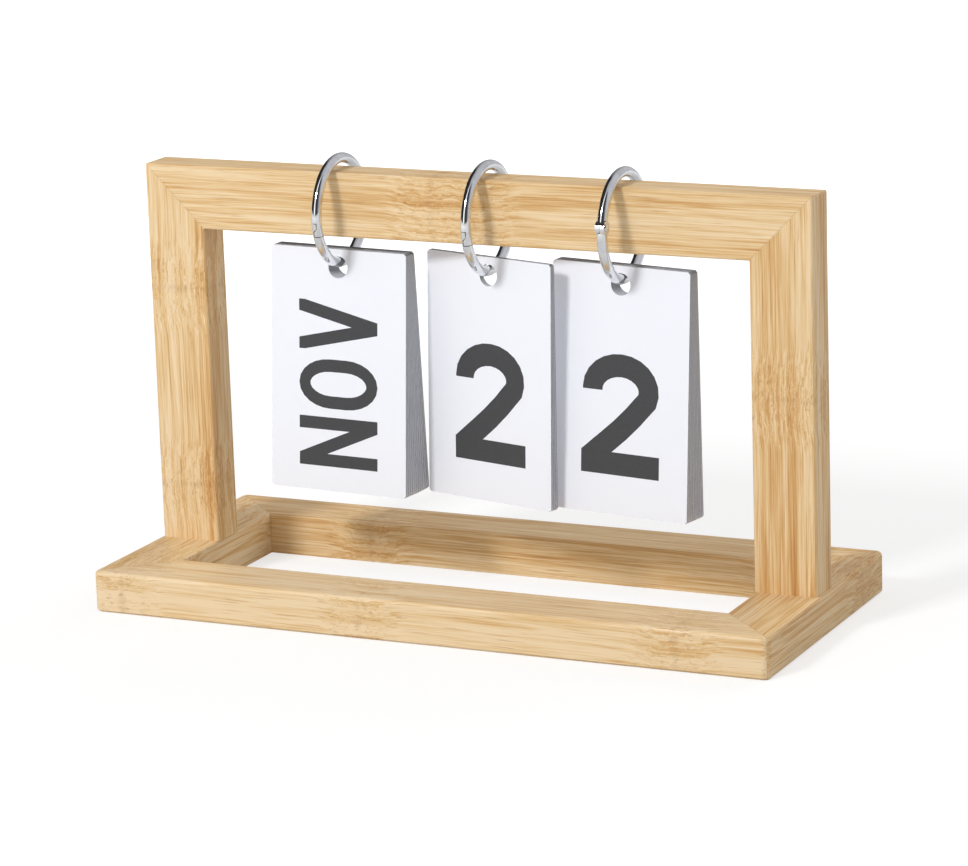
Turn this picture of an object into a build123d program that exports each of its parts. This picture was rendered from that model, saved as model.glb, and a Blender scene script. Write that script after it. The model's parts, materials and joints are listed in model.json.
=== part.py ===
from build123d import *
import os
from math import sqrt

# A flip-card desk calendar: a bamboo picture-frame upright on a flat bamboo base frame,
# with three packs of printed cards hung on chromed snap rings that straddle the top rail.
# Millimetres. X is the width, -Y the front, +Z up; the origin is the centre of the footprint.

# base frame: four mitred rails laid flat
base_length = 222.4
base_depth = 99.0
base_height = 12.9
base_rail_width = 20.5
base_corner_radius = 2.5
base_edge_radius = 1.3
base_foot_chamfer = 0.7
base_window_chamfer = 0.4

# upright: two posts and a top rail, mitred at the top corners
upright_setback = 1.2
upright_height = 119.9
upright_depth = 12.6
post_width = 19.7
top_rail_height = 19.8
upright_chamfer = 0.4

# countersunk screws driven up through the side rails into the posts
screw_diameter = 3.4
screw_length = 32.0
screw_head_diameter = 6.6
screw_head_sink = 0.4
screw_fit_gap = 0.05

# snap rings of round wire
ring_inner_diameter = 28.8
wire_diameter = 3.2
wire_sides = 12
ring_seat_gap = 0.3
knuckle_diameter = 4.2
knuckle_gap = 0.15
tongue_gap = 0.08
tongue_thickness = 1.42
rivet_diameter = 1.5
rivet_running_gap = 0.04
rivet_head_diameter = 2.6
rivet_head_height = 0.5
rivet_sides = 16
clasp_length = 4.4
clasp_hook = 0.55
clasp_slit = 0.12

# cards
card_width = 48.0
card_height = 75.5
card_thickness = 0.34
card_corner_chamfer = 0.7
hole_diameter = 6.8
hole_sides = 24
hole_margin = 2.2
hang_gap = 0.36

# where each ring sits along the rail, and how far apart the cards hang on it
month_ring_place = -45.8
tens_ring_place = 4.0
ones_ring_place = 48.1
month_card_pitch = 0.48
tens_card_pitch = 0.48
ones_card_pitch = 0.46

# each pack: how its ring is turned, how the pack is twisted and fanned on it in degrees,
# and its cards from front to back
month_names = ["nov", "dec", "jan", "feb", "mar", "apr", "may", "jun", "jul", "aug", "sep", "oct"]
packs = [
    {
        "name": "month",
        "ring_place": month_ring_place,
        "ring_roll": 11.0,
        "hinge_in_front": False,
        "twist": -4.0,
        "front_lean": 4.2,
        "back_lean": -3.2,
        "pitch": month_card_pitch,
        "cards": month_names,
    },
    {
        "name": "tens",
        "ring_place": tens_ring_place,
        "ring_roll": 11.0,
        "hinge_in_front": False,
        "twist": -14.5,
        "front_lean": 2.2,
        "back_lean": 1.0,
        "pitch": tens_card_pitch,
        "cards": [2, 3, 0, 1],
    },
    {
        "name": "ones",
        "ring_place": ones_ring_place,
        "ring_roll": -8.0,
        "hinge_in_front": True,
        "twist": -9.0,
        "front_lean": 3.8,
        "back_lean": -0.6,
        "pitch": ones_card_pitch,
        "cards": [2, 3, 4, 5, 6, 7, 8, 9, 0, 1],
    },
]

# worked out from the sizes above
upright_length = base_length - 2 * upright_setback
top_height = base_height + upright_height
wire_radius = wire_diameter / 2
ring_inner_radius = ring_inner_diameter / 2
ring_radius = ring_inner_radius + wire_radius
seat_radius = ring_inner_radius - ring_seat_gap
ring_height = top_height - sqrt(seat_radius**2 - (upright_depth / 2) ** 2)
tongue_face = tongue_gap / 2 + tongue_thickness
hole_radius = hole_diameter / 2
hole_height = ring_height - ring_inner_radius + hang_gap - hole_radius
post_place = upright_length / 2 - post_width / 2
screw_tip = screw_head_sink + screw_length


def base_frame():
    """The whole base frame, before it is parted at its mitres."""
    frame = extrude(RectangleRounded(base_length, base_depth, base_corner_radius), base_height)
    frame = fillet(frame.faces().sort_by(Axis.Z)[-1].edges(), base_edge_radius)
    frame = chamfer(frame.faces().sort_by(Axis.Z)[0].edges(), base_foot_chamfer)
    window = Rectangle(base_length - 2 * base_rail_width, base_depth - 2 * base_rail_width)
    frame -= extrude(window, base_height)
    window_edges = frame.faces().sort_by(Axis.Z)[-1].inner_wires()[0].edges()
    return chamfer(window_edges, base_window_chamfer)


def base_rail(side):
    """One mitred rail of the base, with its screw hole where a post stands on it."""
    half_length = base_length / 2
    half_depth = base_depth / 2
    long_side = [(-half_length, -half_depth), (half_length, -half_depth)]
    long_side += [(half_length - half_depth, 0), (half_depth - half_length, 0)]
    short_side = [(-half_length, half_depth), (-half_length, -half_depth)]
    short_side += [(half_depth - half_length, 0)]
    points = long_side if side in ("front", "back") else short_side
    region = extrude(make_face(Polyline(*points, close=True)), base_height)
    if side in ("back", "right"):
        region = region.rotate(Axis.Z, 180)
    rail = base_frame() & region
    if side in ("left", "right"):
        rail -= screw_shape(-1 if side == "left" else 1, screw_fit_gap)
    return rail


def upright_frame():
    """Both posts and the top rail in one piece, before they are parted at the mitres."""
    outline = Pos(0, 0, base_height + upright_height / 2)
    frame = outline * Box(upright_length, upright_depth, upright_height)
    window_height = upright_height - top_rail_height
    window = Box(upright_length - 2 * post_width, upright_depth, window_height)
    frame -= Pos(0, 0, base_height + window_height / 2) * window
    eased = frame.edges().filter_by(lambda edge: edge.center().Z > base_height + upright_chamfer)
    return chamfer(eased, upright_chamfer)


def upright_region(side):
    """The part of the upright's outline that belongs to a post (-1 or 1) or to the rail (0)."""
    half_length = upright_length / 2
    inner = half_length - post_width
    low = top_height - top_rail_height
    if side == 0:
        points = [(-half_length, top_height), (half_length, top_height), (inner, low), (-inner, low)]
    else:
        points = [(side * half_length, base_height), (side * half_length, top_height)]
        points += [(side * inner, low), (side * inner, base_height)]
    face = Plane.XZ * make_face(Polyline(*points, close=True))
    return extrude(face, upright_depth / 2, both=True)


def top_rail():
    return upright_frame() & upright_region(0)


def post(side):
    return (upright_frame() & upright_region(side)) - screw_shape(side, screw_fit_gap)


def screw_shape(side, grow):
    """A countersunk screw standing head down, grown by a gap when it is used as its own hole."""
    shank_radius = screw_diameter / 2 + grow
    head_radius = screw_head_diameter / 2 + grow
    taper = head_radius - shank_radius
    points = [(0, screw_head_sink), (head_radius, screw_head_sink)]
    points += [(shank_radius, screw_head_sink + taper), (shank_radius, screw_tip - shank_radius)]
    points += [(0, screw_tip + grow)]
    if grow > 0:
        points = [(0, 0), (head_radius, 0)] + points[1:]
    profile = Plane.XZ * make_face(Polyline(*points, close=True))
    return Pos(side * post_place, 0, 0) * revolve(profile, Axis.Z)


def knuckle_bar(radius, from_x, to_x):
    """A short round bar along X on the hinge line."""
    section = Plane.YZ.offset(from_x) * Pos(ring_radius, 0) * Circle(radius)
    return extrude(section, to_x - from_x)


def clasp_side():
    """The region below the clasp's S-shaped slit: one hook reaches up past the other."""
    reach = 2 * wire_diameter
    far = 2 * ring_radius
    half = clasp_length / 2
    slit = clasp_slit / 2
    slope = slit * (sqrt(2) - 1)
    left = -clasp_hook - slit
    right = clasp_hook - slit
    points = [(-reach, -far), (-reach, half - slit), (right, half - slit)]
    points += [(right, clasp_hook + slope), (left, -clasp_hook + slope), (left, -half - slit)]
    points += [(reach, -half - slit), (reach, -far)]
    face = Plane.XZ * make_face(Polyline(*points, close=True))
    return extrude(face, far)


def ring_half():
    """The lower half of a ring centred on X, with its hinge eye at +Y and its clasp hook at -Y."""
    far = 2 * ring_radius
    ring = revolve(Pos(0, ring_radius, 0) * RegularPolygon(wire_radius, wire_sides), Axis.X)
    hinge_side = Pos(0, far / 2, -far / 2) * Box(far, far, far)
    half_ring = ring & (clasp_side() + hinge_side)
    # the wire ends in a flat round eye, thinned from both sides
    inner = -tongue_gap / 2
    outer = -tongue_face
    clear_radius = knuckle_diameter / 2 + knuckle_gap
    bore_radius = rivet_diameter / 2 + rivet_running_gap
    inside_radius = (bore_radius + knuckle_diameter / 2) / 2
    half_ring -= knuckle_bar(clear_radius, inner, far)
    half_ring -= knuckle_bar(clear_radius, -far, outer)
    half_ring -= knuckle_bar(inside_radius, outer, inner)
    eye = knuckle_bar(knuckle_diameter / 2, outer, inner) - knuckle_bar(bore_radius, outer, inner)
    return half_ring + eye


def hinge_rivet():
    """The rivet through both tongues, with a low bevelled head at each end."""
    seat = tongue_face + tongue_gap / 2
    shank = Plane.YZ * RegularPolygon(rivet_diameter / 2, rivet_sides)
    rivet = extrude(shank, seat, both=True)
    head = extrude(RegularPolygon(rivet_head_diameter / 2, rivet_sides), rivet_head_height)
    head = chamfer(head.faces().sort_by(Axis.Z)[-1].edges(), rivet_head_height / 2)
    head = Pos(seat, 0, 0) * head.rotate(Axis.Y, 90)
    return Pos(0, ring_radius, 0) * (rivet + head + head.rotate(Axis.Z, 180))


def on_rail(pack, piece):
    """Turns a ring piece as this pack's ring is turned and hangs it on the top rail."""
    if pack["hinge_in_front"]:
        piece = piece.rotate(Axis.Z, 180)
    piece = piece.rotate(Axis.X, pack["ring_roll"])
    return Pos(pack["ring_place"], 0, ring_height) * piece


def card_blank():
    """One card upright in the XZ plane, with the centre of its hole at the origin."""
    drop = hole_margin + hole_radius - card_height / 2
    sheet = Rectangle(card_width, card_height)
    sheet = Pos(0, drop) * chamfer(sheet.vertices(), card_corner_chamfer)
    sheet -= RegularPolygon(hole_radius, hole_sides)
    return extrude(Plane.XZ * sheet, card_thickness / 2, both=True)


def hung_card(pack, index, blank):
    """The card at this place in its pack, leaning a little more or less than the next one."""
    count = len(pack["cards"])
    share = index / (count - 1)
    lean = pack["front_lean"] + share * (pack["back_lean"] - pack["front_lean"])
    setback = (index - (count - 1) / 2) * pack["pitch"]
    card = Pos(0, setback, 0) * blank.rotate(Axis.X, -lean)
    card = card.rotate(Axis.Z, pack["twist"])
    return Pos(pack["ring_place"], 0, hole_height) * card


def all_nodes():
    nodes = {}
    for side in ("front", "back", "left", "right"):
        nodes["base_" + side + "_rail"] = base_rail(side)
    nodes["left_post"] = post(-1)
    nodes["right_post"] = post(1)
    nodes["top_rail"] = top_rail()
    nodes["post_screws"] = Compound([screw_shape(-1, 0), screw_shape(1, 0)])
    lower_half = ring_half()
    upper_half = lower_half.rotate(Axis.Y, 180)
    rivet = hinge_rivet()
    blank = card_blank()
    for pack in packs:
        name = pack["name"]
        nodes[name + "_ring_upper_half"] = on_rail(pack, upper_half)
        nodes[name + "_ring_lower_half"] = on_rail(pack, lower_half)
        nodes[name + "_ring_rivet"] = on_rail(pack, rivet)
        for index, label in enumerate(pack["cards"]):
            nodes[name + "_card_" + str(label)] = hung_card(pack, index, blank)
    return nodes


os.makedirs("parts", exist_ok=True)
for name, shape in all_nodes().items():
    export_step(shape, "parts/" + name + ".step")
print("top of the upright", top_height, "ring centre height", round(ring_height, 3))
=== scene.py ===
import json
from math import cos, pi, radians, sin

import bmesh
import bpy
from mathutils import Matrix, Vector

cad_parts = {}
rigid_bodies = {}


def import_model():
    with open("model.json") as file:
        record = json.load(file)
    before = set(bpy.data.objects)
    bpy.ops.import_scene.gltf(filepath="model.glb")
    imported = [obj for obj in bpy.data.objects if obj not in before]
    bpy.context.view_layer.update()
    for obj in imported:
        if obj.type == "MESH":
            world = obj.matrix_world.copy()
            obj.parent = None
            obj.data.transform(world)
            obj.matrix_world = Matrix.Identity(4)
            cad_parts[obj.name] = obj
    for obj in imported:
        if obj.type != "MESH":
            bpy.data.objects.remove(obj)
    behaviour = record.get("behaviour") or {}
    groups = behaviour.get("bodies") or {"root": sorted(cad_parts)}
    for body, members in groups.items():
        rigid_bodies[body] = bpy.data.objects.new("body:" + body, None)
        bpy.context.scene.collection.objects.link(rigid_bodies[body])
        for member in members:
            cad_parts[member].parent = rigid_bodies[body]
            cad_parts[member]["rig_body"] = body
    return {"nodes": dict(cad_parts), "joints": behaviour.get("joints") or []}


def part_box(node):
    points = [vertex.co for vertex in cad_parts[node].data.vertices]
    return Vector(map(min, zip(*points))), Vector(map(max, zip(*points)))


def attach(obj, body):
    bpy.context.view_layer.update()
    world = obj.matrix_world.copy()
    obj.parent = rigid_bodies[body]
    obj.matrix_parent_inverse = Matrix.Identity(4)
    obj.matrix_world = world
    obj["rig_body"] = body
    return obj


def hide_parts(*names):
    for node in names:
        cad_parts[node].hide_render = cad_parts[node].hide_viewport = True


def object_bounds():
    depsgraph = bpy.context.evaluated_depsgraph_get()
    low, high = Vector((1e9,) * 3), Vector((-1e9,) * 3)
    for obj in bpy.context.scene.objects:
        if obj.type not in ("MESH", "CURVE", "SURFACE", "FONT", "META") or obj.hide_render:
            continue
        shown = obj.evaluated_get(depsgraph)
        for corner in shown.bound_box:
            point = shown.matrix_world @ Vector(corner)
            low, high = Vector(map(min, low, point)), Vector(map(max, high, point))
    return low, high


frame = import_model()
cadLow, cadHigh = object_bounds()
nodes = frame["nodes"]
scene = bpy.context.scene
scene.view_settings.view_transform = "Standard"
print("frame loaded:", len(nodes), "pieces")

millimetre = 0.001


def nodeTree(name):
    # an empty material with its output, ready for a shader
    material = bpy.data.materials.new(name)
    material.use_nodes = True
    tree = material.node_tree
    tree.nodes.clear()
    output = tree.nodes.new("ShaderNodeOutputMaterial")
    return material, tree, output


def addNode(tree, kind, **settings):
    node = tree.nodes.new(kind)
    for key, value in settings.items():
        setattr(node, key, value)
    return node


def mathNode(tree, operation, first, second=None, third=None):
    node = addNode(tree, "ShaderNodeMath", operation=operation)
    for index, value in enumerate((first, second, third)):
        if value is None:
            continue
        if isinstance(value, (int, float)):
            node.inputs[index].default_value = value
        else:
            tree.links.new(value, node.inputs[index])
    return node.outputs[0]


def rampNode(tree, factor, stops):
    node = addNode(tree, "ShaderNodeValToRGB")
    elements = node.color_ramp.elements
    while len(elements) < len(stops):
        elements.new(0.5)
    for element, (place, colour) in zip(elements, stops):
        element.position = place
        element.color = (*colour, 1)
    tree.links.new(factor, node.inputs["Fac"])
    return node.outputs["Color"]


def noiseNode(tree, vector, scale, detail=4.0, roughness=0.5, distortion=0.0):
    node = addNode(tree, "ShaderNodeTexNoise")
    node.inputs["Scale"].default_value = scale
    node.inputs["Detail"].default_value = detail
    node.inputs["Roughness"].default_value = roughness
    node.inputs["Distortion"].default_value = distortion
    tree.links.new(vector, node.inputs["Vector"])
    return node.outputs["Fac"]


def mixColour(tree, factor, first, second):
    node = addNode(tree, "ShaderNodeMix", data_type="RGBA", blend_type="MIX")
    for index, value in ((0, factor), (6, first), (7, second)):
        socket = node.inputs[index]
        if isinstance(value, (int, float)):
            socket.default_value = value
        elif isinstance(value, tuple):
            socket.default_value = (*value, 1)
        else:
            tree.links.new(value, socket)
    return node.outputs[2]


def stretched(tree, vector, scale, offset=(0, 0, 0)):
    node = addNode(tree, "ShaderNodeMapping")
    node.inputs["Scale"].default_value = scale
    node.inputs["Location"].default_value = offset
    tree.links.new(vector, node.inputs["Vector"])
    return node.outputs["Vector"]


def softStep(tree, value, start, end):
    node = addNode(tree, "ShaderNodeMapRange", interpolation_type="SMOOTHSTEP")
    node.inputs["From Min"].default_value = start
    node.inputs["From Max"].default_value = end
    tree.links.new(value, node.inputs["Value"])
    return node.outputs[0]


def scaled(colour, factor):
    return tuple(channel * factor for channel in colour)


def bumpNode(tree, height, strength, distance):
    node = addNode(tree, "ShaderNodeBump")
    node.inputs["Strength"].default_value = strength
    node.inputs["Distance"].default_value = distance
    tree.links.new(height, node.inputs["Height"])
    return node.outputs[0]


# bamboo: fine strips pressed together, fibres, and a rough patch at each joint of the stalk

bamboo = {
    "pale": (0.86, 0.665, 0.42),
    "light": (0.775, 0.545, 0.28),
    "middle": (0.655, 0.38, 0.145),
    "deep": (0.47, 0.21, 0.06),
    "speck": (0.36, 0.165, 0.055),
    "stripWidth": 0.0052,
    "stripSpread": 7.31,
    "jointReach": 0.017,
    "jointCore": 0.002,
    "mitreLine": 0.0002,
    "mitreDark": 0.2,
    "waveBend": 0.0016,
    "ruffleBend": 0.0022,
    "baseTone": -0.125,
    "fineTone": 0.46,
    "mediumTone": 0.50,
    "broadTone": 0.26,
    "stripTone": 0.055,
    "jointTone": 0.012,
    "toneSteps": (0.40, 0.50, 0.585, 0.70),
    "dashDark": 0.5,
    "speckDark": 0.42,
    "ridgeDark": 0.2,
    "roughness": 0.40,
    "roughnessSpread": 0.22,
    "bumpStrength": 0.2,
    "bumpDepth": 0.0002,
}
# how tightly each noise is packed, along the grain and across it, per metre
weave = {
    "wave": (11, 40, 40),
    "ruffle": (190, 330, 330),
    "fine": (34, 2300, 2300),
    "medium": (15, 640, 640),
    "broad": (6, 120, 120),
    "dashes": (70, 2600, 2600),
    "specks": (420, 1100, 1100),
    "ragged": (60, 500, 500),
}
seedStart, seedStep = 1.7, 3.1

# grain direction, which mitres it has, how far its colour leans to orange, and where along the
# grain its stalk joints are, in metres
bars = {
    "base_front_rail": {"grain": "X", "mitre": "base", "tone": -0.085,
                        "joints": (-0.101, -0.020, 0.082)},
    "base_back_rail": {"grain": "X", "mitre": "base", "tone": -0.015, "joints": (-0.055, 0.088)},
    "base_left_rail": {"grain": "Y", "mitre": "base", "tone": -0.02, "joints": (0.036, -0.028)},
    "base_right_rail": {"grain": "Y", "mitre": "base", "tone": -0.01, "joints": (0.030,)},
    "top_rail": {"grain": "X", "mitre": "upright", "tone": -0.015, "joints": (0.002, -0.012)},
    "left_post": {"grain": "Z", "mitre": "upright", "tone": 0.0, "joints": (0.031, 0.094)},
    "right_post": {"grain": "Z", "mitre": "upright", "tone": 0.03, "joints": (0.072,)},
}


def jointPatch(tree, along, places):
    # 1 at a stalk joint, falling to 0 a little way along the grain
    nearest = None
    for place in places:
        gap = mathNode(tree, "ABSOLUTE", mathNode(tree, "SUBTRACT", along, place))
        nearest = gap if nearest is None else mathNode(tree, "MINIMUM", nearest, gap)
    return nearest, softStep(tree, nearest, bamboo["jointReach"], bamboo["jointCore"])


def mitreGlue(tree, split, kind):
    # the thin dark line where two bars meet at 45 degrees
    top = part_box("top_rail")[1]
    sideways = mathNode(tree, "ABSOLUTE", split.outputs["X"])
    if kind == "base":
        reach = mathNode(tree, "SUBTRACT", cadHigh[0], sideways)
        depthways = mathNode(tree, "ABSOLUTE", split.outputs["Y"])
        drop = mathNode(tree, "SUBTRACT", cadHigh[1], depthways)
    else:
        reach = mathNode(tree, "SUBTRACT", top.x, sideways)
        drop = mathNode(tree, "SUBTRACT", top.z, split.outputs["Z"])
    gap = mathNode(tree, "ABSOLUTE", mathNode(tree, "SUBTRACT", reach, drop))
    line = softStep(tree, gap, bamboo["mitreLine"] * 2, 0.0)
    return mathNode(tree, "MULTIPLY", line, bamboo["mitreDark"])


def makeBamboo(name, bar, seed):
    material, tree, output = nodeTree(name)
    links = tree.links
    coords = addNode(tree, "ShaderNodeTexCoord").outputs["Object"]
    split = addNode(tree, "ShaderNodeSeparateXYZ")
    links.new(coords, split.inputs[0])
    order = {"X": "XYZ", "Y": "YXZ", "Z": "ZXY"}[bar["grain"]]
    along, across, depth = (split.outputs[axis] for axis in order)
    nearest, patch = jointPatch(tree, along, bar["joints"])

    # a slow wave bends the fibres a little, and a quick one ruffles them at a stalk joint
    straight = addNode(tree, "ShaderNodeCombineXYZ")
    for index, value in enumerate((along, across, depth)):
        links.new(value, straight.inputs[index])
    straight = straight.outputs[0]
    wave = stretched(tree, straight, weave["wave"], (seed, 0, 0))
    wave = noiseNode(tree, wave, 1.0, 2.0)
    ruffle = stretched(tree, straight, weave["ruffle"], (0, seed, 0))
    ruffle = mathNode(tree, "MULTIPLY", noiseNode(tree, ruffle, 1.0, 3.0, 0.6), patch)
    bend = mathNode(tree, "MULTIPLY", wave, bamboo["waveBend"])
    bend = mathNode(tree, "MULTIPLY_ADD", ruffle, bamboo["ruffleBend"], bend)
    turned = addNode(tree, "ShaderNodeCombineXYZ")
    links.new(along, turned.inputs[0])
    links.new(mathNode(tree, "ADD", across, bend), turned.inputs[1])
    links.new(mathNode(tree, "ADD", depth, bend), turned.inputs[2])
    place = turned.outputs[0]

    # each strip has a tone of its own
    bent = mathNode(tree, "ADD", mathNode(tree, "ADD", across, bend), depth)
    strip = mathNode(tree, "FLOOR", mathNode(tree, "DIVIDE", bent, bamboo["stripWidth"]))
    chance = addNode(tree, "ShaderNodeTexWhiteNoise", noise_dimensions="1D")
    links.new(mathNode(tree, "ADD", strip, seed * bamboo["stripSpread"]), chance.inputs["W"])
    chance = chance.outputs["Value"]

    # fibres: long thin streaks at three sizes, and short dark dashes
    fine = stretched(tree, place, weave["fine"], (0, seed, 0))
    fine = noiseNode(tree, fine, 1.0, 4.0, 0.6)
    medium = stretched(tree, place, weave["medium"], (seed, 0, 0))
    medium = noiseNode(tree, medium, 1.0, 5.0, 0.62, 0.5)
    broad = stretched(tree, place, weave["broad"], (0, 0, seed))
    broad = noiseNode(tree, broad, 1.0, 3.0, 0.5)
    tone = bar["tone"] + bamboo["baseTone"]
    for layer, weight in ((fine, "fineTone"), (medium, "mediumTone"), (broad, "broadTone"),
                          (chance, "stripTone"), (patch, "jointTone")):
        tone = mathNode(tree, "MULTIPLY_ADD", layer, bamboo[weight], tone)
    shades = (bamboo[key] for key in ("pale", "light", "middle", "deep"))
    body = rampNode(tree, tone, list(zip(bamboo["toneSteps"], shades)))
    dashes = stretched(tree, place, weave["dashes"], (seed, 0, seed))
    dashes = softStep(tree, noiseNode(tree, dashes, 1.0, 2.0, 0.5), 0.60, 0.74)
    dashes = mathNode(tree, "MULTIPLY", dashes, bamboo["dashDark"])
    body = mixColour(tree, dashes, body, bamboo["deep"])

    # specks and a faint ridge at each stalk joint
    specks = stretched(tree, straight, weave["specks"], (0, seed, seed))
    specks = softStep(tree, noiseNode(tree, specks, 1.0, 3.0, 0.6), 0.57, 0.72)
    specks = mathNode(tree, "MULTIPLY", specks, patch)
    ragged = stretched(tree, straight, weave["ragged"], (seed, 0, 0))
    ragged = noiseNode(tree, ragged, 1.0, 4.0, 0.6)
    ridge = mathNode(tree, "MULTIPLY_ADD", ragged, 0.008, nearest)
    ridge = softStep(tree, ridge, 0.0056, 0.0032)
    ridge = mathNode(tree, "MULTIPLY", ridge, bamboo["ridgeDark"])
    marks = mathNode(tree, "MULTIPLY_ADD", specks, bamboo["speckDark"], ridge)
    body = mixColour(tree, marks, body, bamboo["speck"])
    glue = mitreGlue(tree, split, bar["mitre"])
    body = mixColour(tree, glue, body, bamboo["speck"])

    shader = addNode(tree, "ShaderNodeBsdfPrincipled")
    links.new(body, shader.inputs["Base Color"])
    spread = bamboo["roughnessSpread"]
    shine = mathNode(tree, "MULTIPLY_ADD", fine, spread, bamboo["roughness"] - 0.08)
    links.new(shine, shader.inputs["Roughness"])
    shader.inputs["Specular IOR Level"].default_value = 0.35
    relief = mathNode(tree, "ADD", fine, medium)
    relief = mathNode(tree, "MULTIPLY_ADD", marks, -0.3, relief)
    bump = bumpNode(tree, relief, bamboo["bumpStrength"], bamboo["bumpDepth"])
    links.new(bump, shader.inputs["Normal"])
    links.new(shader.outputs[0], output.inputs[0])
    return material


def dress(node, material):
    # gives a CAD piece its finish
    slots = nodes[node].data.materials
    slots.clear()
    slots.append(material)


for count, (node, bar) in enumerate(bars.items()):
    dress(node, makeBamboo("bamboo_" + node, bar, seedStart + seedStep * count))
print("bamboo finished")


# chrome for the rings and zinc for the screws

metals = {
    "chromeColour": (0.82, 0.83, 0.85),
    "chromeRoughness": 0.07,
    "chromeWear": 0.05,
    "screwColour": (0.62, 0.53, 0.34),
    "screwRoughness": 0.34,
    "screwWear": 0.15,
    "hazeScale": 260.0,
    "hazeShade": 0.86,
    "scratchScale": (900, 900, 120),
    "bumpStrength": 0.05,
    "bumpDepth": 0.00005,
}


def makeMetal(name, colour, roughness, wear):
    material, tree, output = nodeTree(name)
    coords = addNode(tree, "ShaderNodeTexCoord").outputs["Object"]
    haze = noiseNode(tree, coords, metals["hazeScale"], 4.0, 0.6)
    shader = addNode(tree, "ShaderNodeBsdfPrincipled")
    shader.inputs["Metallic"].default_value = 1.0
    dark = scaled(colour, metals["hazeShade"])
    tint = rampNode(tree, haze, [(0.35, dark), (0.6, colour)])
    tree.links.new(tint, shader.inputs["Base Color"])
    dull = mathNode(tree, "MULTIPLY_ADD", haze, wear, roughness)
    tree.links.new(dull, shader.inputs["Roughness"])
    scratches = stretched(tree, coords, metals["scratchScale"])
    scratches = noiseNode(tree, scratches, 1.0, 3.0, 0.6)
    bump = bumpNode(tree, scratches, metals["bumpStrength"], metals["bumpDepth"])
    tree.links.new(bump, shader.inputs["Normal"])
    tree.links.new(shader.outputs[0], output.inputs[0])
    return material


chrome = makeMetal("chrome_wire", metals["chromeColour"], metals["chromeRoughness"],
                   metals["chromeWear"])
zinc = makeMetal("zinc_screw", metals["screwColour"], metals["screwRoughness"],
                 metals["screwWear"])
dress("post_screws", zinc)
print("metal finished")


# snap rings: round wire in two halves, with a riveted hinge and a hooked clasp, in millimetres

ring = {
    "radius": 16.0,
    "wireRadius": 1.6,
    "wireSides": 32,
    "steps": 132,
    "claspLength": 4.4,
    "claspHook": 0.55,
    "claspSlit": 0.26,
    "eyeRadius": 2.1,
    "eyeRoom": 0.15,
    "tongueGap": 0.08,
    "tongueThickness": 1.42,
    "rivetRadius": 0.75,
    "rivetRoom": 0.04,
    "headRadius": 1.3,
    "headHeight": 0.5,
    "headWall": 0.2,
    "seamTurn": 1.1,
    "mergeWithin": 0.001,
    "eyeSides": 64,
    "creaseAngle": 38,
}
ringSets = {
    "month": {"roll": 11, "hingeInFront": False},
    "tens": {"roll": 11, "hingeInFront": False},
    "ones": {"roll": -8, "hingeInFront": True},
}
far = 2 * ring["radius"]
slitSlope = 0.414  # keeps the slit as wide on its slope as on its straight runs


def crossBar(radius, start, end):
    # a round bar along X on the hinge line
    bm = bmesh.new()
    middle = Matrix.Translation(((start + end) / 2, ring["radius"], 0))
    bmesh.ops.create_cone(
        bm, cap_ends=True, segments=ring["eyeSides"], radius1=radius, radius2=radius,
        depth=end - start, matrix=middle @ Matrix.Rotation(radians(90), 4, "Y"))
    return bm


def upperFront():
    # everything above the S-shaped slit of the clasp
    half, slit = ring["claspLength"] / 2, ring["claspSlit"] / 2
    hook, slope = ring["claspHook"], slit * slitSlope
    outline = [(-far, half - slit), (hook - slit, half - slit), (hook - slit, hook + slope),
               (-hook - slit, slope - hook), (-hook - slit, -half - slit), (far, -half - slit),
               (far, far), (-far, far)]
    bm = bmesh.new()
    face = bm.faces.new([bm.verts.new((x, 0, z)) for x, z in outline])
    grown = bmesh.ops.extrude_face_region(bm, geom=[face])
    moved = [item for item in grown["geom"] if isinstance(item, bmesh.types.BMVert)]
    bmesh.ops.translate(bm, verts=moved, vec=(0, -far, 0))
    bmesh.ops.recalc_face_normals(bm, faces=bm.faces[:])
    return bm


def upperBack():
    # everything above the middle on the hinge's side
    bm = bmesh.new()
    middle = Matrix.Translation((0, far / 2 - 1, far / 2))
    stretch = Matrix.Diagonal((2 * far, far + 2, far, 1))
    bmesh.ops.create_cube(bm, size=1, matrix=middle @ stretch)
    return bm


def spinRound(bm, steps):
    # a full turn about X of all that the bmesh holds
    bmesh.ops.spin(
        bm, geom=bm.verts[:] + bm.edges[:], cent=(0, 0, 0), axis=(1, 0, 0), dvec=(0, 0, 0),
        angle=2 * pi, steps=steps, use_merge=True, use_duplicate=False)
    bmesh.ops.remove_doubles(bm, verts=bm.verts, dist=ring["mergeWithin"])


def wireLoop():
    # the whole ring; a small turn keeps its seams off the planes that cut it
    bm = bmesh.new()
    out = Matrix.Translation((0, ring["radius"], 0))
    bmesh.ops.create_circle(bm, segments=ring["wireSides"], radius=ring["wireRadius"],
                            matrix=Matrix.Rotation(radians(ring["seamTurn"]), 4, "X") @ out)
    spinRound(bm, ring["steps"])
    bmesh.ops.recalc_face_normals(bm, faces=bm.faces[:])
    return bm


def holdMesh(bm, name):
    mesh = bpy.data.meshes.new(name)
    bm.to_mesh(mesh)
    bm.free()
    holder = bpy.data.objects.new(name, mesh)
    scene.collection.objects.link(holder)
    return holder


def applied(holder):
    # the mesh as its modifiers leave it, and the holder put away
    depsgraph = bpy.context.evaluated_depsgraph_get()
    made = bpy.data.meshes.new_from_object(holder.evaluated_get(depsgraph))
    spent = holder.data
    bpy.data.objects.remove(holder)
    bpy.data.meshes.remove(spent)
    return made


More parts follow.
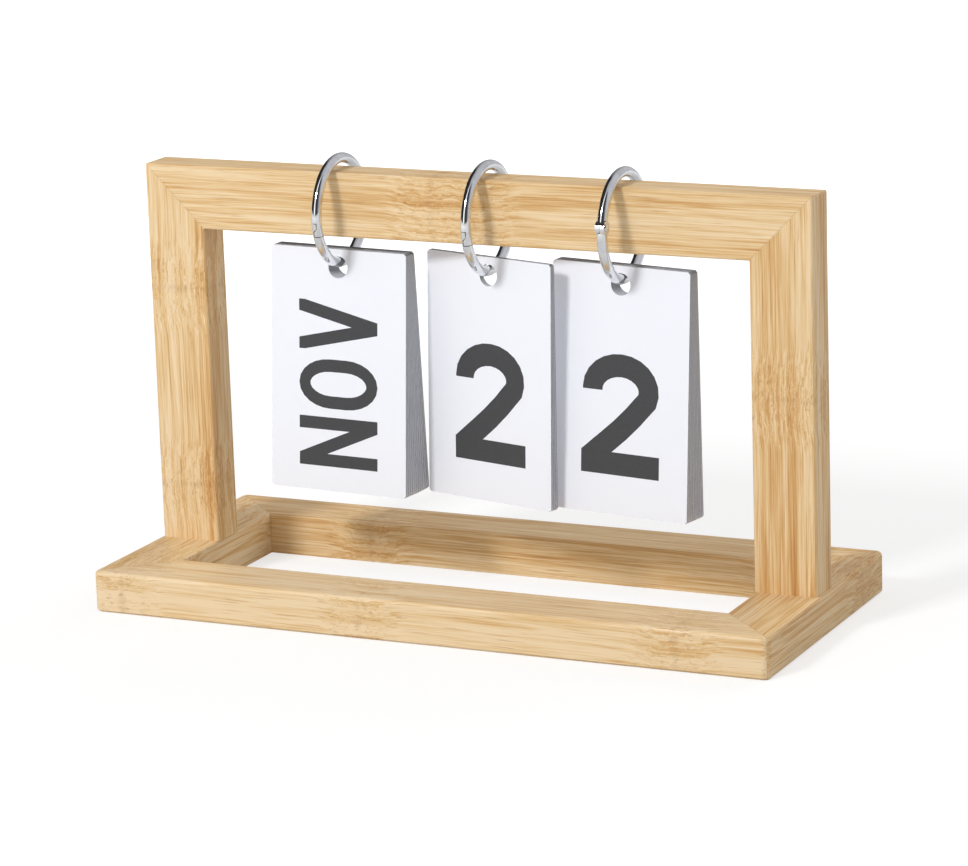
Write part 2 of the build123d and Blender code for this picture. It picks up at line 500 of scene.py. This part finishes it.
def makeRingHalf():
    # the lower half, centred on X, with its hinge eye at +Y and its hook at -Y
    inner = -ring["tongueGap"] / 2
    outer = inner - ring["tongueThickness"]
    room = ring["eyeRadius"] + ring["eyeRoom"]
    steps = [
        ("DIFFERENCE", upperBack()),
        ("DIFFERENCE", upperFront()),
        ("DIFFERENCE", crossBar(room, inner, far)),
        ("DIFFERENCE", crossBar(room, -far, outer)),
        ("UNION", crossBar(ring["eyeRadius"], outer, inner)),
        ("DIFFERENCE", crossBar(ring["rivetRadius"] + ring["rivetRoom"], -far, far)),
    ]
    wire = holdMesh(wireLoop(), "wire")
    tools = []
    for count, (operation, bm) in enumerate(steps):
        tool = holdMesh(bm, "tool" + str(count))
        tools.append(tool)
        change = wire.modifiers.new("step" + str(count), "BOOLEAN")
        change.operation = operation
        change.solver = "EXACT"
        change.object = tool
    made = applied(wire)
    for tool in tools:
        spent = tool.data
        bpy.data.objects.remove(tool)
        bpy.data.meshes.remove(spent)
    return made


def makeRivet():
    # a shank with a low domed head at each end, spun round the hinge line
    seat = ring["tongueGap"] + ring["tongueThickness"]
    shank, head, tip = ring["rivetRadius"], ring["headRadius"], seat + ring["headHeight"]
    side = [(seat, shank), (seat, head), (seat + ring["headWall"], head),
            (tip - 0.13, head * 0.83), (tip - 0.03, head * 0.5), (tip, 0)]
    profile = [(-x, y) for x, y in reversed(side)] + side
    bm = bmesh.new()
    verts = [bm.verts.new((x, y, 0)) for x, y in profile]
    for first, second in zip(verts, verts[1:]):
        bm.edges.new((first, second))
    spinRound(bm, ring["eyeSides"] // 2)
    bmesh.ops.translate(bm, verts=bm.verts, vec=(0, ring["radius"], 0))
    bmesh.ops.recalc_face_normals(bm, faces=bm.faces[:])
    mesh = bpy.data.meshes.new("rivet")
    bm.to_mesh(mesh)
    bm.free()
    return mesh


def placeRingPiece(name, source, place, material, node):
    mesh = source.copy()
    mesh.transform(place)
    mesh.materials.clear()
    mesh.materials.append(material)
    mesh.shade_smooth()
    mesh.set_sharp_from_angle(angle=radians(ring["creaseAngle"]))
    piece = bpy.data.objects.new(name, mesh)
    scene.collection.objects.link(piece)
    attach(piece, nodes[node]["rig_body"])
    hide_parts(node)


halfMesh = makeRingHalf()
rivetMesh = makeRivet()
for name, kind in ringSets.items():
    centre = next(j["pos_m"] for j in frame["joints"] if j["name"] == name + "_pack_swing")
    roll = Matrix.Rotation(radians(kind["roll"]), 4, "X")
    place = Matrix.Translation(centre) @ Matrix.Scale(millimetre, 4) @ roll
    if kind["hingeInFront"]:
        place = place @ Matrix.Rotation(pi, 4, "Z")
    placeRingPiece(name + "_wire_lower", halfMesh, place, chrome, name + "_ring_lower_half")
    over = place @ Matrix.Rotation(pi, 4, "Y")
    placeRingPiece(name + "_wire_upper", halfMesh, over, chrome, name + "_ring_upper_half")
    placeRingPiece(name + "_hinge_rivet", rivetMesh, place, chrome, name + "_ring_rivet")
bpy.data.meshes.remove(halfMesh)
bpy.data.meshes.remove(rivetMesh)
print("rings finished")


# the cards' paper and the ink of their print

card = {
    "face": (0.89, 0.91, 0.975),
    "edge": (0.33, 0.335, 0.35),
    # the dark top-edge colour is painted shade, for the shade under the top rail
    "paintedTopShade": (0.085, 0.088, 0.095),
    "topAbove": 0.1072,
    "roughness": 0.5,
    "bumpStrength": 0.06,
    "bumpDepth": 0.00005,
    "inkDepth": 0.03,
    "inkLift": 0.01,
    "ink": (0.062, 0.062, 0.066),
}


def makeCard():
    # white faces, and a greyer cut edge that is found from the piece's own normal
    material, tree, output = nodeTree("card_stock")
    coords = addNode(tree, "ShaderNodeTexCoord")
    facing = addNode(tree, "ShaderNodeSeparateXYZ")
    tree.links.new(coords.outputs["Normal"], facing.inputs[0])
    flat = mathNode(tree, "GREATER_THAN", mathNode(tree, "ABSOLUTE", facing.outputs["Y"]), 0.6)
    fibre = noiseNode(tree, coords.outputs["Object"], 1400.0, 3.0, 0.6)
    cloud = noiseNode(tree, coords.outputs["Object"], 45.0, 2.0, 0.5)
    shade = mathNode(tree, "MULTIPLY_ADD", cloud, 0.04, mathNode(tree, "MULTIPLY", fibre, 0.03))
    face = rampNode(tree, shade, [
        (0.0, card["face"]),
        (0.07, scaled(card["face"], 0.975)),
    ])
    edgeColour = rampNode(tree, fibre, [
        (0.35, card["edge"]),
        (0.65, scaled(card["edge"], 1.35)),
    ])
    # painted shade: the top edges are darker than the sides, standing in for the shade under the
    # top rail
    where = addNode(tree, "ShaderNodeSeparateXYZ")
    tree.links.new(coords.outputs["Object"], where.inputs[0])
    above = mathNode(tree, "GREATER_THAN", where.outputs["Z"], card["topAbove"])
    upward = mathNode(tree, "GREATER_THAN", facing.outputs["Z"], 0.5)
    topShadeMask = mathNode(tree, "MULTIPLY", above, upward)
    edgeColour = mixColour(tree, topShadeMask, edgeColour, card["paintedTopShade"])
    shader = addNode(tree, "ShaderNodeBsdfPrincipled")
    tree.links.new(mixColour(tree, flat, edgeColour, face), shader.inputs["Base Color"])
    shader.inputs["Roughness"].default_value = card["roughness"]
    shader.inputs["Specular IOR Level"].default_value = 0.25
    bump = bumpNode(tree, fibre, card["bumpStrength"], card["bumpDepth"])
    tree.links.new(bump, shader.inputs["Normal"])
    tree.links.new(shader.outputs[0], output.inputs[0])
    return material


def makeInk():
    material, tree, output = nodeTree("printed_ink")
    coords = addNode(tree, "ShaderNodeTexCoord").outputs["Object"]
    grain = noiseNode(tree, coords, 1800.0, 3.0, 0.6)
    shader = addNode(tree, "ShaderNodeBsdfPrincipled")
    body = rampNode(tree, grain, [(0.35, card["ink"]), (0.65, scaled(card["ink"], 1.12))])
    tree.links.new(body, shader.inputs["Base Color"])
    shader.inputs["Roughness"].default_value = 0.55
    shader.inputs["Specular IOR Level"].default_value = 0.2
    tree.links.new(shader.outputs[0], output.inputs[0])
    return material


cardStock = makeCard()
ink = makeInk()
for node in nodes:
    if "_card_" in node:
        dress(node, cardStock)


# the print: every character is drawn with a few strokes of one width

# A stroke starts at its first pair. Each further pair is a straight run to that point, and
# each set of four is a bow: centre x, centre y, height over width, and the turn in degrees.
# The box that the strokes' middle lines fill is 1 wide and 1 high.
characters = {
    "0": [[(1, 0.67), (0.5, 0.67, 0.66, 180), (0, 0.33), (0.5, 0.33, 0.66, 180), (1, 0.67)]],
    "1": [[(0.62, -0.2), (0.62, 1.2)], [(-0.05, 0.66), (0.62, 1.02)]],
    "2": [[(0.02, 0.735), (0.02, 0.752), (0.5, 0.752, 0.52, -200), (0.86, 0.6), (0.72, 0.495),
           (0.5, 0.35), (0.28, 0.222), (0.045, 0.088), (-0.3, -0.11)], [(-0.2, 0), (1.2, 0)]],
    "3": [[(0.04, 0.77), (0.47, 0.76, 0.56, -262), (0.3, 0.52)],
          [(0.3, 0.52), (0.47, 0.52), (0.47, 0.26, 0.54, -262)]],
    "4": [[(0.56, 1.2), (-0.04, 0.2)], [(-0.2, 0.24), (1.2, 0.24)], [(0.72, -0.2), (0.72, 0.6)]],
    "5": [[(0.1, 1), (1.2, 1)], [(0.13, 1.2), (0.08, 0.5)],
          [(0.1, 0.5), (0.48, 0.33, 0.66, -290)]],
    "6": [[(1, 0.33), (0.5, 0.33, 0.66, 360)],
          [(0.66, 1.2), (0.5, 0.95), (0.2, 0.55), (0.06, 0.42)]],
    "7": [[(-0.2, 1), (1.2, 1)], [(1.03, 1.1), (0.9, 0.86), (0.45, 0.1), (0.28, -0.3)]],
    "8": [[(0.92, 0.76), (0.5, 0.76, 0.57, 360)], [(1, 0.27), (0.5, 0.27, 0.54, 360)]],
    "9": [[(1, 0.67), (0.5, 0.67, 0.66, 360)],
          [(0.34, -0.2), (0.5, 0.05), (0.8, 0.45), (0.94, 0.58)]],
    "A": [[(-0.11, -0.2), (0.52, 1.1)], [(1.11, -0.2), (0.48, 1.1)], [(0.2, 0.27), (0.8, 0.27)]],
    "B": [[(0, -0.2), (0, 1.2)], [(0, 1), (0.55, 1), (0.55, 0.76, 0.6, -180), (0, 0.52)],
          [(0, 0.52), (0.6, 0.52), (0.6, 0.26, 0.6, -180), (0, 0)]],
    "C": [[(0.98, 0.74), (0.5, 0.72, 0.56, 176), (0, 0.28), (0.5, 0.28, 0.56, 176)]],
    "D": [[(0, -0.2), (0, 1.2)],
          [(0, 1), (0.4, 1), (0.4, 0.7, 0.5, -90), (1, 0.3), (0.4, 0.3, 0.5, -90), (0, 0)]],
    "E": [[(0, -0.2), (0, 1.2)], [(0, 1), (1.2, 1)], [(0, 0.52), (0.86, 0.52)], [(0, 0), (1.2, 0)]],
    "F": [[(0, -0.2), (0, 1.2)], [(0, 1), (1.2, 1)], [(0, 0.5), (0.86, 0.5)]],
    "G": [[(0.98, 0.76), (0.5, 0.72, 0.56, 172), (0, 0.28), (0.5, 0.28, 0.56, 180), (1, 0.47)],
          [(0.5, 0.47), (1.2, 0.47)]],
    "J": [[(0.92, 1.2), (0.92, 0.26), (0.46, 0.26, 0.56, -172)]],
    "L": [[(0, -0.2), (0, 1.2)], [(0, 0), (1.2, 0)]],
    "M": [[(0, -0.2), (0, 1.2)], [(1, -0.2), (1, 1.2)], [(-0.047, 1.15), (0.56, 0.22)],
          [(1.047, 1.15), (0.44, 0.22)]],
    "N": [[(0, -0.2), (0, 1.2)], [(1, -0.2), (1, 1.2)], [(-0.044, 1.114), (1.044, -0.114)]],
    "O": [[(1, 0.62), (0.5, 0.62, 0.76, 180), (0, 0.38), (0.5, 0.38, 0.76, 180), (1, 0.62)]],
    "P": [[(0, -0.2), (0, 1.2)], [(0, 1), (0.5, 1), (0.5, 0.73, 0.54, -180), (0, 0.46)]],
    "R": [[(0, -0.2), (0, 1.2)], [(0, 1), (0.5, 1), (0.5, 0.74, 0.52, -180), (0, 0.48)],
          [(0.42, 0.5), (1.1, -0.2)]],
    "S": [[(0.96, 0.76), (0.5, 0.745, 0.51, 226), (0.6, 0.5), (0.82, 0.42),
           (0.5, 0.255, 0.51, -226)]],
    "T": [[(-0.2, 1), (1.2, 1)], [(0.5, 1), (0.5, -0.2)]],
    "U": [[(0, 1.2), (0, 0.3), (0.5, 0.3, 0.6, 180), (1, 1.2)]],
    "V": [[(-0.09, 1.2), (0.52, -0.12)], [(1.09, 1.2), (0.48, -0.12)]],
    "Y": [[(-0.12, 1.2), (0.52, 0.4)], [(1.12, 1.2), (0.48, 0.4)], [(0.5, 0.5), (0.5, -0.2)]],
}

digit = {"width": 27.4, "height": 36.8, "stroke": 6.9, "baseline": 12.1, "shiftRight": 0.4}
word = {"width": 15.4, "height": 27.9, "stroke": 3.9, "gap": 2.8, "above": 16.2, "below": 7.6}
strokeStep = 15  # degrees between the points of a bow
inkLayer = 0.004  # crossing strokes differ this much in thickness, so no two tops coincide


def flatScale(bm, verts, centre, height):
    # squeezes points towards a level line through the centre
    fixed = Matrix.Translation((-centre[0], -centre[1], 0))
    bmesh.ops.scale(bm, verts=verts, vec=(1, height, 1), space=fixed)


def drawStroke(moves):
    # the middle line of one stroke, as a wire in the box that is 1 by 1
    bm = bmesh.new()
    tip = bm.verts.new((*moves[0], 0))
    for move in moves[1:]:
        if len(move) == 2:
            grown = bmesh.ops.extrude_vert_indiv(bm, verts=[tip])
            tip = grown["verts"][0]
            tip.co = (*move, 0)
            continue
        centre, height, turn = move[:2], move[2], move[3]
        flatScale(bm, [tip], centre, 1 / height)
        before = set(bm.verts) - {tip}
        grown = bmesh.ops.spin(
            bm, geom=[tip], cent=(*centre, 0), axis=(0, 0, 1), dvec=(0, 0, 0),
            angle=radians(turn), steps=max(2, round(abs(turn) / strokeStep)), use_duplicate=False)
        flatScale(bm, [v for v in bm.verts if v not in before], centre, height)
        tip = [item for item in grown["geom_last"] if isinstance(item, bmesh.types.BMVert)][0]
    return bm


def thicken(bm, width):
    # turns a ribbon that stands on its edge into a bar as wide as the stroke
    holder = holdMesh(bm, "stroke")
    solid = holder.modifiers.new("width", "SOLIDIFY")
    solid.thickness = width
    solid.offset = 0
    solid.use_even_offset = True
    return applied(holder)


def makeCharacter(letter, style):
    # one character in millimetres, its lower left corner at zero, its face towards +Z
    whole = bmesh.new()
    stroke = style["stroke"]
    width, height = style["width"], style["height"]
    for layer, moves in enumerate(characters[letter]):
        bm = drawStroke(moves)
        inner = (width - stroke, height - stroke, 1)
        bmesh.ops.scale(bm, verts=bm.verts, vec=inner)
        bmesh.ops.translate(bm, verts=bm.verts, vec=(stroke / 2, stroke / 2, -card["inkLift"]))
        bmesh.ops.remove_doubles(bm, verts=bm.verts, dist=0.01)
        rise = bmesh.ops.extrude_edge_only(bm, edges=bm.edges[:])
        raised = [item for item in rise["geom"] if isinstance(item, bmesh.types.BMVert)]
        bmesh.ops.translate(bm, verts=raised, vec=(0, 0, card["inkDepth"] + layer * inkLayer))
        bar = thicken(bm, stroke)
        trimmed = bmesh.new()
        trimmed.from_mesh(bar)
        bpy.data.meshes.remove(bar)
        for corner, outward in (((0, 0, 0), (-1, 0, 0)), ((0, 0, 0), (0, -1, 0)),
                                ((width, height, 0), (1, 0, 0)), ((width, height, 0), (0, 1, 0))):
            cut = bmesh.ops.bisect_plane(
                trimmed, geom=trimmed.verts[:] + trimmed.edges[:] + trimmed.faces[:],
                plane_co=corner, plane_no=outward, clear_outer=True)
            rim = [item for item in cut["geom_cut"] if isinstance(item, bmesh.types.BMEdge)]
            if rim:
                bmesh.ops.holes_fill(trimmed, edges=rim, sides=0)
        bmesh.ops.recalc_face_normals(trimmed, faces=trimmed.faces[:])
        piece = bpy.data.meshes.new("bar")
        trimmed.to_mesh(piece)
        trimmed.free()
        whole.from_mesh(piece)
        bpy.data.meshes.remove(piece)
    mesh = bpy.data.meshes.new("character_" + letter)
    whole.to_mesh(mesh)
    whole.free()
    return mesh


def cardFront(node):
    # where the front of a card is: its lower left corner, and its right, up and outward directions
    mesh = nodes[node].data
    front = max((p for p in mesh.polygons if p.normal.y < 0), key=lambda p: p.area)
    outward = front.normal.copy()
    up = (Vector((0, 0, 1)) - outward * outward.z).normalized()
    right = up.cross(outward)
    rights = [vertex.co.dot(right) for vertex in mesh.vertices]
    ups = [vertex.co.dot(up) for vertex in mesh.vertices]
    face = max(vertex.co.dot(outward) for vertex in mesh.vertices)
    corner = right * min(rights) + up * min(ups) + outward * face
    size = (max(rights) - min(rights), max(ups) - min(ups))
    place = Matrix((right, up, outward)).transposed().to_4x4()
    return Matrix.Translation(corner) @ place, size


drawn = {}


def character(letter, style, kind):
    if (letter, kind) not in drawn:
        drawn[letter, kind] = makeCharacter(letter, style)
    return drawn[letter, kind]


def printCard(node, text):
    place, size = cardFront(node)
    wide, high = size[0] / millimetre, size[1] / millimetre
    bm = bmesh.new()
    if len(text) == 1:
        left = (wide - digit["width"]) / 2 + digit["shiftRight"]
        offset = Matrix.Translation((left, digit["baseline"], 0))
        layout = [(text, digit, "digit", offset)]
    else:
        # the month reads upwards, so its line of letters is turned a quarter
        layout = []
        step = (high - word["above"] - word["below"] + word["gap"]) / len(text)
        quarter = Matrix.Rotation(radians(90), 4, "Z")
        edge = (wide + word["height"]) / 2
        for count, letter in enumerate(text):
            offset = Matrix.Translation((edge, word["below"] + count * step, 0)) @ quarter
            layout.append((letter, word, "word", offset))
    for letter, style, kind, offset in layout:
        part = character(letter, style, kind).copy()
        part.transform(place @ Matrix.Scale(millimetre, 4) @ offset)
        bm.from_mesh(part)
        bpy.data.meshes.remove(part)
    mesh = bpy.data.meshes.new("print_" + node)
    bm.to_mesh(mesh)
    bm.free()
    mesh.materials.append(ink)
    piece = bpy.data.objects.new("print_" + node, mesh)
    scene.collection.objects.link(piece)
    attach(piece, nodes[node]["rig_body"])
    return size


for node in sorted(nodes):
    if "_card_" in node:
        label = node.split("_card_")[1].upper()
        size = printCard(node, label)
        print("printed", node, [round(side / millimetre, 2) for side in size])


# floor, light and camera

studio = {
    "floorSize": 8.0,
    "floorBounce": 0.72,
    "floorShade": 0.42,
    "floorLift": 0.62,
    "whiteFrom": 0.22,
    "whiteFully": 0.75,
    "mirroredLift": 0.5,
    "skyLight": 0.475,
    "overhead": (0.5, 0.5, 0.52),
    "aim": (0, 0, 0.06),
}
# where each lamp stands, its size in metres, its power, and whether the chrome mirrors it
lamps = {
    "key": ((-0.42, -1.24, 1.04), 0.28, 13.4, True),
    "fill": ((-1.1, -0.9, 0.5), 1.3, 2.4, False),
    "back": ((0.45, 1.25, 0.85), 1.2, 8.0, False),
}
# what the chrome mirrors, going round from the back by the left: grey wall, dark flag,
# bright tall softbox, dark room, grey screen
surroundings = [
    (0.0, (0.55, 0.55, 0.57)),
    (0.08, (0.30, 0.30, 0.32)),
    (0.14, (0.025, 0.025, 0.028)),
    (0.41, (0.025, 0.025, 0.028)),
    (0.435, (1.4, 1.4, 1.4)),
    (0.475, (1.4, 1.4, 1.4)),
    (0.50, (0.04, 0.04, 0.043)),
    (0.63, (0.06, 0.06, 0.064)),
    (0.72, (0.60, 0.61, 0.64)),
    (1.0, (0.58, 0.58, 0.60)),
]


def makeFloor():
    bm = bmesh.new()
    bmesh.ops.create_grid(bm, x_segments=2, y_segments=2, size=studio["floorSize"] / 2)
    mesh = bpy.data.meshes.new("floor")
    bm.to_mesh(mesh)
    bm.free()
    floor = bpy.data.objects.new("floor", mesh)
    scene.collection.objects.link(floor)
    material, tree, output = nodeTree("floor_white")
    links = tree.links
    path = addNode(tree, "ShaderNodeLightPath")
    matte = addNode(tree, "ShaderNodeBsdfDiffuse")
    bounced = (studio["floorBounce"],) * 3
    flat = (studio["floorShade"],) * 3
    glow = addNode(tree, "ShaderNodeEmission")
    mirrored = mathNode(tree, "MULTIPLY", path.outputs["Is Glossy Ray"], studio["mirroredLift"])
    direct = mathNode(tree, "MAXIMUM", path.outputs["Is Camera Ray"], mirrored)
    direct = mathNode(tree, "MAXIMUM", direct, path.outputs["Is Transmission Ray"])
    paint = mixColour(tree, softStep(tree, direct, 0.0, 0.1), bounced, flat)
    links.new(paint, matte.inputs["Color"])
    # away from the object the floor goes over into plain white
    coords = addNode(tree, "ShaderNodeTexCoord").outputs["Object"]
    distance = addNode(tree, "ShaderNodeVectorMath", operation="LENGTH")
    links.new(coords, distance.inputs[0])
    plain = softStep(tree, distance.outputs["Value"], studio["whiteFrom"], studio["whiteFully"])
    lift = mathNode(tree, "MULTIPLY_ADD", plain, 1 - studio["floorLift"], studio["floorLift"])
    links.new(mathNode(tree, "MULTIPLY", direct, lift), glow.inputs["Strength"])
    both = addNode(tree, "ShaderNodeAddShader")
    links.new(matte.outputs[0], both.inputs[0])
    links.new(glow.outputs[0], both.inputs[1])
    links.new(both.outputs[0], output.inputs[0])
    mesh.materials.append(material)


def makeWorld():
    # white to the camera, an even grey light for matt things, and soft dark bands for the chrome
    world = bpy.data.worlds.new("studio")
    scene.world = world
    world.use_nodes = True
    tree = world.node_tree
    tree.nodes.clear()
    output = addNode(tree, "ShaderNodeOutputWorld")
    path = addNode(tree, "ShaderNodeLightPath")
    coords = addNode(tree, "ShaderNodeTexCoord")
    split = addNode(tree, "ShaderNodeSeparateXYZ")
    tree.links.new(coords.outputs["Generated"], split.inputs[0])
    forward = mathNode(tree, "MULTIPLY", split.outputs["Y"], -1.0)
    angle = mathNode(tree, "ARCTAN2", split.outputs["X"], forward)
    turn = mathNode(tree, "MULTIPLY_ADD", angle, 0.5 / pi, 0.5)
    bands = rampNode(tree, turn, surroundings)
    above = softStep(tree, split.outputs["Z"], 0.90, 0.99)
    bands = mixColour(tree, above, bands, studio["overhead"])
    even = (studio["skyLight"],) * 3
    light = mixColour(tree, path.outputs["Is Glossy Ray"], even, bands)
    light = mixColour(tree, path.outputs["Is Camera Ray"], light, (1.0, 1.0, 1.0))
    background = addNode(tree, "ShaderNodeBackground")
    tree.links.new(light, background.inputs["Color"])
    tree.links.new(background.outputs[0], output.inputs[0])


def addLamp(name, place, size, power, mirrored):
    data = bpy.data.lights.new(name, "AREA")
    data.shape = "SQUARE"
    data.size = size
    data.energy = power
    lamp = bpy.data.objects.new(name, data)
    lamp.location = place
    aim = Vector(studio["aim"]) - Vector(place)
    lamp.rotation_euler = aim.to_track_quat("-Z", "Y").to_euler()
    lamp.visible_glossy = mirrored
    scene.collection.objects.link(lamp)


makeFloor()
makeWorld()
for name, lamp in lamps.items():
    addLamp(name, *lamp)

# the camera's angles in degrees, its place from the object in millimetres, and its lens
view = {
    "azimuth": 25.3586,
    "elevation": 13.7522,
    "roll": -1.8796,
    "offset": (1.4572, -51.7571, -1252.3721),
    "lens": 151.247,
    "sensor": 36,
    "clip": (0.05, 50),
}


def makeCamera():
    azimuth, elevation, roll = (radians(view[key]) for key in ("azimuth", "elevation", "roll"))
    flat = cos(elevation)
    back = Vector((sin(azimuth) * flat, -cos(azimuth) * flat, sin(elevation)))
    level = Vector((cos(azimuth), sin(azimuth), 0))
    rise = back.cross(level)
    right = level * cos(roll) + rise * sin(roll)
    up = rise * cos(roll) - level * sin(roll)
    shiftX, shiftY, shiftZ = (value * millimetre for value in view["offset"])
    data = bpy.data.cameras.new("photo_view")
    data.lens = view["lens"]
    data.sensor_width = view["sensor"]
    data.sensor_fit = "HORIZONTAL"
    data.clip_start, data.clip_end = view["clip"]
    camera = bpy.data.objects.new("photo_view", data)
    turn = Matrix((right, up, back)).transposed().to_4x4()
    stand = -(right * shiftX + up * shiftY + back * shiftZ)
    camera.matrix_world = Matrix.Translation(stand) @ turn
    scene.collection.objects.link(camera)
    scene.camera = camera


makeCamera()
print("studio ready")
